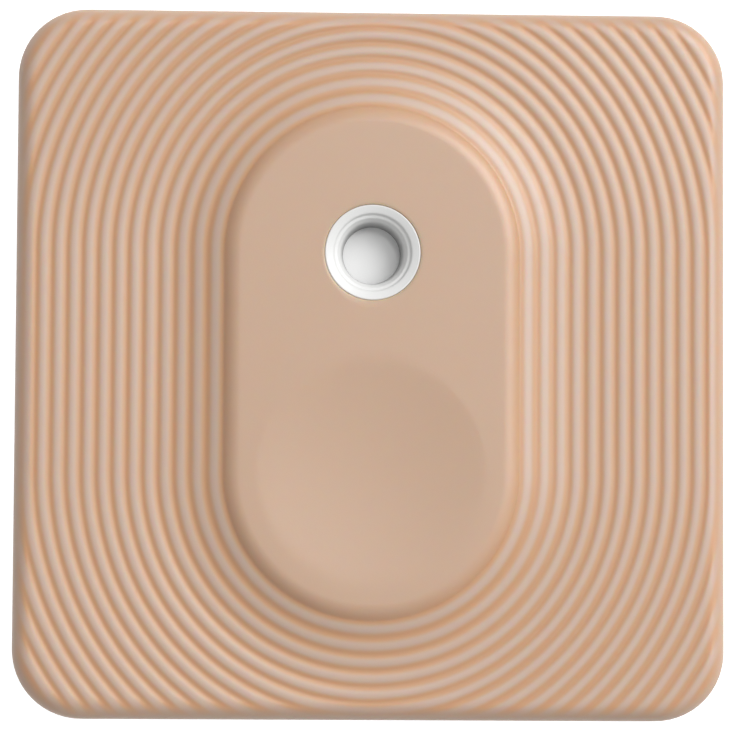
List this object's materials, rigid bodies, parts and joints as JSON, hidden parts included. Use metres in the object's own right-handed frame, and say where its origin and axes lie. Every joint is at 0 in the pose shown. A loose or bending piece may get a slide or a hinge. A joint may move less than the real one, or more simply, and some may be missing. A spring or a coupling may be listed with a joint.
{
  "type": "temperature and humidity sensor",
  "caption": "Square wall or shelf tile with a ridged front, a raised stadium-shaped plateau and a white vented port, over a board and a coin cell; the front lifts off its back cover.",
  "frame": {"origin": "centre of the flat back face", "axes": "+Z out of the ridged front, +Y towards the port end, +X to the right seen from the front"},
  "size_m": [0.035, 0.035, 0.0078],
  "materials": {
    "shell": "satin moulded, fine spark texture",
    "port": "smooth white moulding",
    "membrane": "matt white porous film",
    "seal": "matt black silicone",
    "chip": "matt moulding compound",
    "resistor": "glazed",
    "board": "green solder resist",
    "gilding": "gold plated",
    "crystal_can": "seam-sealed metal lid",
    "antenna_ceramic": "glazed ceramic",
    "inductor": "glazed",
    "capacitor": "sintered ceramic",
    "cell_steel": "nickel-plated steel",
    "clip_steel": "stamped spring steel"
  },
  "bodies": {
    "back": {"back_cover": "shell", "cover_seal": "seal"},
    "front": {"front_cover": "shell", "port_bush": "port", "vent_membrane": "membrane", "sensor_gasket": "seal", "humidity_sensor": "chip", "circuit_board": "board", "contact_pads": "gilding", "radio_chip": "chip", "radio_crystal": "crystal_can", "clock_crystal": "crystal_can", "chip_antenna": "antenna_ceramic", "antenna_inductors": "inductor", "bypass_capacitors": "capacitor", "resistors": "resistor", "reservoir_capacitor": "capacitor", "coin_cell": "cell_steel", "battery_clip": "clip_steel", "battery_contact": "gilding"}
  },
  "joints": [
    {"name": "cover_lift", "type": "slide", "parent": "back", "child": "front", "axis": [0, 0, 1], "range_m": [0, 0.012]}
  ]
}
